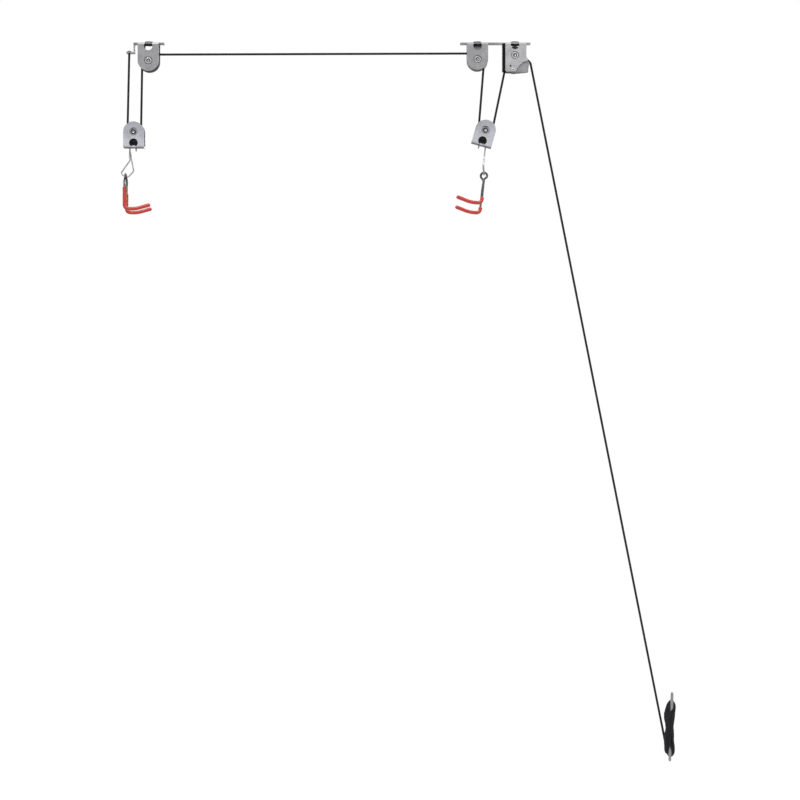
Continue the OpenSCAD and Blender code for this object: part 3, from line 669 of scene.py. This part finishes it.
# From the cleat's middle to where the lead meets the turns, in mm
LEAD_END = (-11.5, 0, -22)
# Radius of the button at the rope's end, and half of the thickness between its bevels
BUTTON_R = 3.9 * MM
BUTTON_HALF = 0.7 * MM
# The lock keeps this share of the fourth fall in place
LOCK_HELD = 0.22
# Length of the mesh's steps on the falls and turns, and on the long straights
SHORT_STEP = 6 * MM
LONG_STEP = 20 * MM
# The cleat leans 2 degrees, and its horns' axis lies in the rope's plane
CLEAT_LEAN = math.radians(2)
CLEAT_MIDDLE = Vector((CLEAT.x, 0, CLEAT.z))
# Points of the route in each turn on the cleat
TURN_STEPS = 40
# How far the turns reach along a horn: the least and how much more at most, in mm,
# and the rate and start of the sine between them
UPPER_REACH = (24, 21, 2.4, 0.5)
LOWER_REACH = (28, 27, 2.1, 1.2)


def rope_places():
    """Angles of the rope's straight stretches and the points they run between."""
    r = sizes().pitch_r
    lip = LOCK_PIN + Vector(LIP) * MM
    bend_r = (LIP_R + LIP_GAP) * MM + sizes().rope_d / 2
    lead_end = CLEAT_MIDDLE + Vector(LEAD_END) * MM
    top = Vector((BUTTON.x, 0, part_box("rope_front_fall_fixed")[1][2]))
    angles = {
        "fixed": normal_angle(top, FRONT_BLOCK, 0, r, 1, -1),
        "running": normal_angle(FRONT_BLOCK, FRONT_WHEEL, r, r, -1, 1),
        "span": normal_angle(FRONT_WHEEL, REAR_WHEEL, r, r, 1, 1),
        "rear": normal_angle(REAR_WHEEL, REAR_BLOCK, r, r, 1, -1),
        "lock": normal_angle(REAR_BLOCK, LOCK_WHEEL, r, r, -1, 1),
        "lip": normal_angle(LOCK_WHEEL, lip, r, bend_r, 1, 1),
        "lead": normal_angle(lip, lead_end, bend_r, 0, 1, 1),
    }
    return angles, top, lip, bend_r, lead_end


def straight(a, b, step):
    """Points of a straight stretch of rope."""
    return rounded([a, a.lerp(b, 0.5), b], 1 * MM, step)


def rope_piece(name, node, path, material, ring=16, ends=(0.05, 0.05)):
    """A piece of the rope, which stands for a CAD node."""
    piece = tube_object(name, path, sizes().rope_d / 2, material, ring, ends)
    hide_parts(node)
    return piece


def on_cleat(point):
    """A point given from the cleat's middle, turned with its lean."""
    return CLEAT_MIDDLE + Matrix.Rotation(CLEAT_LEAN, 3, "Y") @ Vector(point)


def figure_eight(turns):
    """The rope's route over the cleat's horns, wound from the posts outwards.

    One turn passes behind the upper horn, crosses the front, passes behind the
    lower horn and crosses back over itself. No sine's rate fits the turns, so each
    turn lies a little differently. Lengths are in mm.
    """
    route = []
    for i in range(turns * TURN_STEPS + 1):
        t = i / TURN_STEPS
        layer = t / turns
        c, s = math.cos(2 * math.pi * t), math.sin(2 * math.pi * t)
        least, more, rate, start = UPPER_REACH if c > 0 else LOWER_REACH
        reach = least + more * abs(math.sin(rate * t + start))
        # Outer layers are deeper and wider, and long turns are narrower
        deep = 6.3 + 2.4 * layer
        wide = 5.4 + 1.0 * layer - 0.05 * (reach - UPPER_REACH[0])
        # The powers lay the crossings flat in front and round the ends behind the horns
        y = deep * (2 * abs(c) ** 1.6 - 1)
        z = reach * math.copysign(abs(c) ** 0.7, c) + 7 * math.sin(2.9 * t) * s**2
        # The bundle hangs left of the horns, and draws in about them towards their tips
        aside = -3.4 + 0.14 * max(0, abs(z) - UPPER_REACH[0])
        x = aside + wide * 2 * s * c + 4.8 * math.sin(1.9 * t) * s**2
        route.append(on_cleat(Vector((x, y, z)) * MM))
    return route


class HOIST_OT_rope(bpy.types.Operator):
    """Lays the braided rope over its wheels and down to the cleat"""

    bl_idname = "hoist.rope"
    bl_label = "Rope"

    def execute(self, context):
        rope_colour = colours().rope[:]
        material = braided_rope("Braided polypropylene rope", rope_colour)
        self.melted_end(melted_fibre("Melted rope end", rope_colour))
        r = sizes().pitch_r
        angles, top, lip, bend_r, lead_end = rope_places()
        front, rear = "front_carrier", "rear_carrier"
        # (name, node, what it leaves above, radius there, block, angle, body, share held)
        falls = (
            ("first", "front_fall_fixed", top, 0, FRONT_BLOCK, "fixed", front, 0.0),
            ("second", "front_fall_running", FRONT_WHEEL, r, FRONT_BLOCK, "running", front, 0.0),
            ("third", "rear_fall_running", REAR_WHEEL, r, REAR_BLOCK, "rear", rear, 0.0),
            ("fourth", "rear_fall_lock", LOCK_WHEEL, r, REAR_BLOCK, "lock", rear, LOCK_HELD),
        )
        for name, node, above, radius, block, angle, body, held in falls:
            high = in_plane(above, radius, angles[angle])
            low = in_plane(block, -r, angles[angle])
            piece = rope_piece(
                f"rope_{name}_fall", f"rope_{node}", straight(high, low, SHORT_STEP), material
            )
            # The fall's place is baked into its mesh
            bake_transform(piece)
        loops = (
            ("front", FRONT_BLOCK, "fixed", "running", front),
            ("rear", REAR_BLOCK, "rear", "lock", rear),
        )
        for name, block, start, stop, body in loops:
            # Rope under a wheel has its normals turned half round
            path = arc(block, r, angles[start] - math.pi, angles[stop] - math.pi)
            piece = rope_piece(f"rope_{name}_bight", f"rope_{name}_loop", path, material)
            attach(piece, body)
        over = arc(FRONT_WHEEL, r, angles["running"], angles["span"])
        over_end = arc(REAR_WHEEL, r, angles["span"], angles["rear"])
        path = over + straight(over[-1], over_end[0], LONG_STEP)[1:-1] + over_end
        span = rope_piece("rope_over_the_wheels", "rope_span", path, material)
        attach(span, "root")
        path = arc(LOCK_WHEEL, r, angles["lock"], angles["lip"])
        path += arc(lip, bend_r, angles["lip"], angles["lead"])
        path += straight(path[-1], lead_end, LONG_STEP)[1:]
        lead = rope_piece("rope_to_the_cleat", "rope_lead", path, material)
        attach(lead, "root")
        path = rounded(figure_eight(sizes().turns), 1 * MM, SHORT_STEP)
        wound = rope_piece("rope_turns", "rope_on_cleat", path, material, 12, (0.3, 0.3))
        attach(wound, "root")
        return {"FINISHED"}

    def melted_end(self, material):
        """The button into which the rope's fixed end is melted."""
        path = rounded(
            [BUTTON + UP * BUTTON_HALF, BUTTON, BUTTON - UP * BUTTON_HALF], 1 * MM, 0.4 * MM
        )
        melted = tube_object("rope_melted_end", path, BUTTON_R, material, 32, (0.2, 0.1))
        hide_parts("rope_button")
        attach(melted, "root")


# ---- Hangers and hooks ----


# From a block's axle, in mm: the underside of its web, and the middle of the wire over it
WEB_UNDER = -28
WEB_SEAT = -24.3
# The web's two holes, in mm beside the axle, and how far the tails hang below it
TAIL_HOLE = 3.5
NECK_HOLE = 8.0
WIRE_TAIL = 5.5
# The rear block hangs tilted
BLOCK_TILT = math.radians(16)
# From a block's axle to the middle of its hook's eye, in mm
FRONT_EYE = (-15.7, 0, -80.6)
REAR_EYE = (-2.4, 0, -80.9)

# A hook's sizes in mm; depths are below the middle of its eye
PRONG_Y = 38  # from its middle to each prong
REACH = 44  # of a prong
KNEE = 24  # from a prong's tip to the bend where it starts to rise
RISE = 7  # of a prong's tip above the trough
DEPTH = 60  # of the trough
SHOULDER = 16  # depth of a leg's upper bend
KNEE_CUT, ROOT_CUT, SHOULDER_CUT = 7, 8, 5  # from a bend's corner to its ends
EYE_R = 5.7  # of the eye's turn
EYE_SIDE = 2.15  # how far the turn runs to each side
# Depth of each sleeve's mouth, by hook and by the side of its prong
SLEEVE_TOPS = {("front", -1): 21.7, ("front", 1): 27, ("rear", 1): 50, ("rear", -1): 50}
SLEEVE_TIP = 1.7  # from a prong's tip back to where the sleeve's dome starts


def strand_side():
    """Distance of a hanger's two strands from the middle plane, in mm."""
    return sizes().hanger_d / MM / 2 + 0.1


def over_web(turn, side):
    """One strand from its tail, over the web between the holes, to the neck hole."""
    tail, neck = turn * TAIL_HOLE, -turn * NECK_HOLE
    near, far = 0.9 * turn, 2.9 * turn
    entry = WEB_UNDER + 0.4
    return [
        (tail, side, WEB_UNDER - WIRE_TAIL), (tail, side, entry),
        (tail - near, side, WEB_SEAT - 1), (tail - far, side, WEB_SEAT),
        (neck + far, side, WEB_SEAT), (neck + near, side, WEB_SEAT - 1), (neck, side, entry),
    ]


def front_hanger_points():
    """The front hanger's wire: its neck makes a quarter twist and opens in the rope's plane."""
    side = strand_side()
    twist = side * 0.72
    link = [(-23.5, 0, -72.5), (-20.5, 0, -77.5), (-11, 0, -80.5), (-0.8, 0, -69.5)]
    left = [(-8, side, -30), (-8.6, twist, -37), (-8.4, 0, -44), (-7.4, 0, -50)]
    right = [(-4.6, 0, -50), (-5.6, 0, -44), (-6.6, -twist, -37), (-8, -side, -30)]
    web = over_web(1, side)
    back = [(x, -y, z) for x, y, z in reversed(web)]
    return [FRONT_BLOCK + Vector(p) * MM for p in web + left + link + right + back]


def rear_hanger_points():
    """The rear hanger's wire: its neck runs straight and opens across the rope's plane."""
    side = strand_side()
    lean = Matrix.Rotation(BLOCK_TILT, 3, "Y")
    web = [tuple(lean @ Vector(p)) for p in over_web(-1, side)]
    neck = [(0, side, -31), (-0.9, side, -38), (-1.9, side, -48)]
    link = [(-3.6, 9.5, -63), (-2.4, 5.5, -79), (-2.4, -5.5, -79), (-3.6, -9.5, -63)]
    half = web + neck
    back = [(x, -y, z) for x, y, z in reversed(half)]
    return [REAR_BLOCK + Vector(p) * MM for p in half + link + back]


class HOIST_OT_hangers(bpy.types.Operator):
    """Bends the wire hangers that join the blocks to the hooks"""

    bl_idname = "hoist.hangers"
    bl_label = "Hangers"

    def execute(self, context):
        material = drawn_wire("Bright drawn wire", colours().wire[:], 0.3)
        radius = sizes().hanger_d / 2
        for name, points in (("front", front_hanger_points()), ("rear", rear_hanger_points())):
            path = rounded(points, 3.5 * MM, 1.5 * MM)
            piece = tube_object(f"{name}_wire_hanger", path, radius, material, 14, (0.35, 0.35))
            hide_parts(f"{name}_hanger")
            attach(piece, f"{name}_hanger")
        return {"FINISHED"}


def prong(s):
    """One prong from its tip to its straight leg, as in the CAD source, in mm.

    s is -1 or 1, the side of the hook's middle.
    """
    y = s * PRONG_Y
    tip = Vector((REACH, y, RISE - DEPTH))
    knee = Vector((REACH - KNEE, y, -DEPTH))
    root = Vector((0, y, -DEPTH))
    leg = Vector((0, y, 0))
    bends = corner(tip, knee, root, KNEE_CUT, 10) + corner(knee, root, leg, ROOT_CUT, 12)
    return [tip] + bends


def eye_turn(along):
    """The rod's turn around the hanger, in mm.

    along is true where the hanger's wire runs along the reach of the prongs, and
    false where it runs from prong to prong.
    """
    if along:
        rise = [(-EYE_SIDE, -8, -10.2), (-EYE_SIDE, -2, -7.6)]
    else:
        rise = [(0, -8, -13.5), (-1.2, -EYE_SIDE, -9.6)]
    turn = []
    for a in range(-60, 241, 15):
        # The rod moves from one side to the other over the turn's 300 degrees
        k = EYE_SIDE * (a - 90) / 150
        u, z = EYE_R * math.cos(math.radians(a)), EYE_R * math.sin(math.radians(a))
        turn.append((k, u, z) if along else (u, k, z))
    back = [(-x, -y, z) for x, y, z in reversed(rise)]
    return [Vector(p) for p in rise + turn + back]


def shoulder(s, along):
    """The bend in a leg where it turns towards the eye, in mm."""
    y = s * PRONG_Y
    eye = eye_turn(along)[0 if s < 0 else -1]
    return corner(Vector((0, y, -DEPTH)), Vector((0, y, -SHOULDER)), eye, SHOULDER_CUT, 6)


def hook_frame(which):
    """Where a hook's eye is and how the hook is turned about it."""
    if which == "front":
        at = FRONT_BLOCK + Vector(FRONT_EYE) * MM
        return Matrix.Translation(at) @ Matrix.Rotation(math.radians(5), 4, "Z")
    at = REAR_BLOCK + Vector(REAR_EYE) * MM
    lean = Matrix.Rotation(math.radians(-8), 4, "X") @ Matrix.Rotation(math.radians(6), 4, "Y")
    return Matrix.Translation(at) @ lean @ Matrix.Rotation(math.pi, 4, "Z")


class HOIST_OT_hooks(bpy.types.Operator):
    """Bends the hooks' rod and dips each prong in its vinyl sleeve"""

    bl_idname = "hoist.hooks"
    bl_label = "Hooks"

    def execute(self, context):
        rod = lacquered_rod("Lacquered steel rod", colours().rod[:])
        vinyl = dipped_vinyl("Dipped vinyl", colours().vinyl[:])
        for which in ("front", "rear"):
            put = hook_frame(which)
            along = which == "front"
            points = prong(-1) + shoulder(-1, along) + eye_turn(along)
            points += list(reversed(shoulder(1, along))) + list(reversed(prong(1)))
            path = rounded([put @ (p * MM) for p in points], 1.2 * MM, 2 * MM)
            hook = tube_object(f"{which}_hook_rod", path, sizes().hook_d / 2, rod)
            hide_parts(f"{which}_hook")
            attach(hook, f"{which}_hook")
            for s in (-1, 1):
                # The rear hook is turned half round, so its sides change places
                near = (s == -1) == (which == "front")
                self.sleeve(which, "near" if near else "far", s, put, vinyl)
        return {"FINISHED"}

    def sleeve(self, which, side, s, put, vinyl):
        """A dipped sleeve with a domed tip and a rolled mouth."""
        points = prong(s)
        out = (points[0] - points[1]).normalized()
        mouth = Vector((0, s * PRONG_Y, -SLEEVE_TOPS[which, s]))
        path = [points[0] - out * SLEEVE_TIP] + points[1:] + [mouth]
        path = rounded([put @ (p * MM) for p in path], 1 * MM, 1.5 * MM)
        r = sizes().sleeve_d / 2

        def radius(s_here, whole):
            # A dipped skin runs a little thick at the tip and ends in a soft roll
            drip = 0.04 * math.exp(-s_here / (6 * MM))
            roll = 0.06 * math.exp(-(((whole - 1.2 * MM - s_here) / (0.9 * MM)) ** 2))
            return r * (0.95 + drip + roll)

        piece = tube_object(f"{which}_sleeve_{side}", path, radius, vinyl, 24, (0.95, 0.25))
        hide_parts(f"{which}_hook_sleeve_{side}")
        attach(piece, f"{which}_hook")


# ---- Housings, wheels, lock and cleat ----


# Radii between which each rivet's throat is darkened with painted shade, in mm
THROATS = {
    "front_axle": (2, 3.9), "rear_axle": (2, 3.9), "lock_axle": (2, 3.9),
    "front_block_axle": (2.1, 5), "rear_block_axle": (2.1, 5), "lock_pin": (0.8, 1.5),
}


class HOIST_OT_housings(bpy.types.Operator):
    """Finishes the ceiling housings, their rubber rings and their rivets"""

    bl_idname = "hoist.housings"
    bl_label = "Ceiling housings"

    def execute(self, context):
        # The rear strip is painted brighter from between its two pairs of cheeks on to its lock
        # end: painted light
        start, stop = REAR_WHEEL.x + 26 * MM, LOCK_WHEEL.x - 24 * MM
        painted_light_towards_lock = ("Object", "X", start, stop, 1.0, 1.36)
        # The cheeks' inner faces about the rear wheel are painted lighter: painted light
        sheet = zinc_sheet(
            "Zinc-plated housing sheet", colours().housing[:], [painted_light_towards_lock],
            inner_face_painted_shading=2.2, middle=REAR_WHEEL.x,
        )
        dress(sheet, "front_bracket", "rear_bracket")
        # The anvil's black is painted shade
        dress(stove_enamel("Black plate as painted shade", colours().anvil[:]), "lock_anvil")
        rubber = moulded_rubber("Moulded rubber", colours().rubber[:])
        dress(rubber, "front_grommet", "rear_grommet", "lock_grommet")
        for name, throat in THROATS.items():
            label = "Bright zinc " + name.replace("_", " ")
            dress(bright_zinc(label, colours().rivet[:], tuple(centre(name)), throat), name)
        return {"FINISHED"}


class HOIST_OT_wheels(bpy.types.Operator):
    """Finishes the grooved nylon wheels"""

    bl_idname = "hoist.wheels"
    bl_label = "Wheels"

    def execute(self, context):
        wheels = [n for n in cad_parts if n.endswith("wheel")]
        dress(moulded_nylon("Moulded nylon", colours().nylon[:]), *wheels)
        return {"FINISHED"}


class HOIST_OT_blocks(bpy.types.Operator):
    """Finishes the frames of the hook blocks"""

    bl_idname = "hoist.blocks"
    bl_label = "Hook blocks"

    def execute(self, context):
        # Painted shade underneath, and painted shading darker at the top and brighter at the base
        painted_shade_below = ("Normal", "Z", -0.6, -0.9, 1.0, 0.3)
        for which, axle in (("front", FRONT_BLOCK), ("rear", REAR_BLOCK)):
            top, base = axle.z + 18 * MM, axle.z - 26 * MM
            height = ("Object", "Z", top, base, 0.72, 1.06)
            # The cheeks' inner faces about the axle are painted dark: painted shade
            sheet = zinc_sheet(
                f"Zinc-plated {which} block sheet", colours().block[:], [painted_shade_below, height],
                inner_face_painted_shading=0.12, middle=axle.x,
            )
            dress(sheet, f"{which}_block_frame")
        return {"FINISHED"}


class HOIST_OT_lock(bpy.types.Operator):
    """Finishes the lock's lever and winds its spring"""

    bl_idname = "hoist.lock"
    bl_label = "Rope lock"

    def execute(self, context):
        dress(zinc_sheet("Zinc-plated lever sheet", colours().lever[:]), "lock_lever")
        self.wind_spring()
        return {"FINISHED"}

    def wind_spring(self):
        """Winds the torsion spring, given from the pin in mm.

        One leg stands in the cheeks' hole, then come three turns round the pin, and
        the other leg lies under the lever.
        """
        hole, foot = Vector((-4.6, 0, 6.4)), Vector((0, -2.6, 0))
        coil_r, first_y, width = 2.5, 1.5, 3.6
        steps, turns = 24, 3
        last = turns * steps + 5
        coil = []
        for i in range(last + 1):
            a = math.radians(120 - 360 * i / steps)
            y = first_y - width * i / last
            coil.append(Vector((coil_r * math.cos(a), y, coil_r * math.sin(a))))
        path = [hole + Vector(v) for v in ((0, 11, 0), (0, 9, 0), (0.2, 5, 0.2), (1.6, 2.6, 0.1))]
        path += coil + [foot + Vector((4.2, 0, -0.3)), foot + Vector((12, 0, -0.6))]
        path = rounded([LOCK_PIN + v * MM for v in path], 0.6 * MM, 1.5 * MM)
        wire = drawn_wire("Spring wire", colours().wire[:], 0.35)
        spring = tube_object("torsion_spring", path, sizes().spring_d / 2, wire, 10)
        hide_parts("lock_spring")
        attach(spring, "root")


class HOIST_OT_cleat(bpy.types.Operator):
    """Finishes the die-cast cleat"""

    bl_idname = "hoist.cleat"
    bl_label = "Cleat"

    def execute(self, context):
        dress(cast_alloy("Die-cast alloy", colours().casting[:]), "cleat")
        return {"FINISHED"}


# ---- Stage ----


# The camera looks at this point from the front, and this width of the rope's plane
# fills its frame
FRAME_CENTRE = Vector((0.4518, 0, -0.642))
FRAME_WIDTH = 1.44
SENSOR_WIDTH = 36
# Height of the room, with the ceiling at Z = 0, and half of the floor's width
ROOM_HEIGHT = 2.4
FLOOR_HALF = 6.0
# (name, place, point it shines at, diameter in m, power in W)
LAMPS = (
    ("key_light", (-0.5, -1.9, 2.3), (0.4, 0, -0.5), 1.6, 52),
    ("fill_light", (2.4, -2.2, 1.3), (0.5, 0, -0.6), 1.8, 26),
    ("back_light", (0.4, 2.2, 0.6), (0.4, 0, -0.5), 1.8, 16),
)
# The room brightens between these two heights of the direction in which one looks:
# strengths at the lower and the higher one, as light and in reflections
DARK_BELOW, BRIGHT_ABOVE = -0.5, 0.8
AMBIENT = (0.25, 0.7)
MIRRORED = (0.35, 1.0)


def area_light(name, at, aim, size, power):
    """A soft round lamp at one point that shines at another."""
    data = bpy.data.lights.new(name, "AREA")
    data.shape = "DISK"
    data.size = size
    data.energy = power
    lamp = add_object(name, data)
    lamp.location = at
    lamp.rotation_euler = (Vector(aim) - Vector(at)).to_track_quat("-Z", "Y").to_euler()


class HOIST_OT_stage(bpy.types.Operator):
    """Sets the camera, the lamps, the white surroundings and the pale floor"""

    bl_idname = "hoist.stage"
    bl_label = "Stage"

    def execute(self, context):
        scene = context.scene
        distance = sizes().camera_distance
        data = bpy.data.cameras.new("camera")
        data.sensor_width = SENSOR_WIDTH
        data.lens = SENSOR_WIDTH * distance / FRAME_WIDTH
        camera = add_object("camera", data)
        camera.location = FRAME_CENTRE - Vector((0, distance, 0))
        camera.rotation_euler = (math.pi / 2, 0, 0)
        scene.camera = camera

        mesh = bpy.data.meshes.new("floor")
        half = FLOOR_HALF
        corners = [(-half, -half, 0), (half, -half, 0), (half, half, 0), (-half, half, 0)]
        mesh.from_pydata(corners, [], [(0, 1, 2, 3)])
        mesh.materials.append(pale_floor("Pale matt floor", colours().floor[:]))
        floor = add_object("floor", mesh)
        floor.location = (FRAME_CENTRE.x, 0, -ROOM_HEIGHT)

        for lamp in LAMPS:
            area_light(*lamp)
        self.surroundings(scene)
        scene.view_settings.view_transform = "Standard"
        return {"FINISHED"}

    def surroundings(self, scene):
        """White to the camera; as light and in reflections brighter above than below."""
        world = bpy.data.worlds.new("studio")
        world.use_nodes = True
        scene.world = world
        tree = world.node_tree
        background = next(n for n in tree.nodes if n.type == "BACKGROUND")
        background.inputs["Color"].default_value = (1, 1, 1, 1)
        way = add_node(tree, "ShaderNodeTexCoord").outputs["Generated"]
        height = add_node(tree, "ShaderNodeSeparateXYZ", {"Vector": way}).outputs["Z"]
        heights = {"Value": height, "From Min": DARK_BELOW, "From Max": BRIGHT_ABOVE}
        strengths = []
        for low, high in (AMBIENT, MIRRORED):
            levels = {**heights, "To Min": low, "To Max": high}
            strength = add_node(tree, "ShaderNodeMapRange", levels)
            strengths.append(strength.outputs["Result"])
        rays = add_node(tree, "ShaderNodeLightPath")
        light = add_node(
            tree, "ShaderNodeMix",
            {0: rays.outputs["Is Glossy Ray"], 2: strengths[0], 3: strengths[1]},
            data_type="FLOAT",
        ).outputs["Result"]
        strength = add_node(
            tree, "ShaderNodeMath", {0: seen_rays(tree, 1.0, 0), 1: light}, operation="MAXIMUM"
        ).outputs["Value"]
        tree.links.new(strength, background.inputs["Strength"])


# ---- Panel and registration ----


OPERATORS = (
    HOIST_OT_stage,
    HOIST_OT_rope,
    HOIST_OT_housings,
    HOIST_OT_wheels,
    HOIST_OT_blocks,
    HOIST_OT_hangers,
    HOIST_OT_hooks,
    HOIST_OT_lock,
    HOIST_OT_cleat,
)


class HOIST_PT_panel(bpy.types.Panel):
    """Lists the hoist's pieces and the sizes and colours they are made with"""

    bl_label = "Ceiling hoist"
    bl_idname = "HOIST_PT_panel"
    bl_space_type = "VIEW_3D"
    bl_region_type = "UI"
    bl_category = "Hoist"

    def draw(self, context):
        layout = self.layout
        for kind in OPERATORS:
            layout.operator(kind.bl_idname)
        for group in (context.scene.hoist_sizes, context.scene.hoist_colours):
            box = layout.box()
            for key in group.__annotations__:
                box.prop(group, key)


CLASSES = (HoistSizes, HoistColours, *OPERATORS, HOIST_PT_panel)


def register():
    for kind in CLASSES:
        bpy.utils.register_class(kind)
    bpy.types.Scene.hoist_sizes = PointerProperty(type=HoistSizes)
    bpy.types.Scene.hoist_colours = PointerProperty(type=HoistColours)


def unregister():
    del bpy.types.Scene.hoist_colours
    del bpy.types.Scene.hoist_sizes
    for kind in reversed(CLASSES):
        bpy.utils.unregister_class(kind)


def main():
    register()
    for kind in OPERATORS:
        group, name = kind.bl_idname.split(".")
        getattr(getattr(bpy.ops, group), name)()


if __name__ == "__main__":
    main()
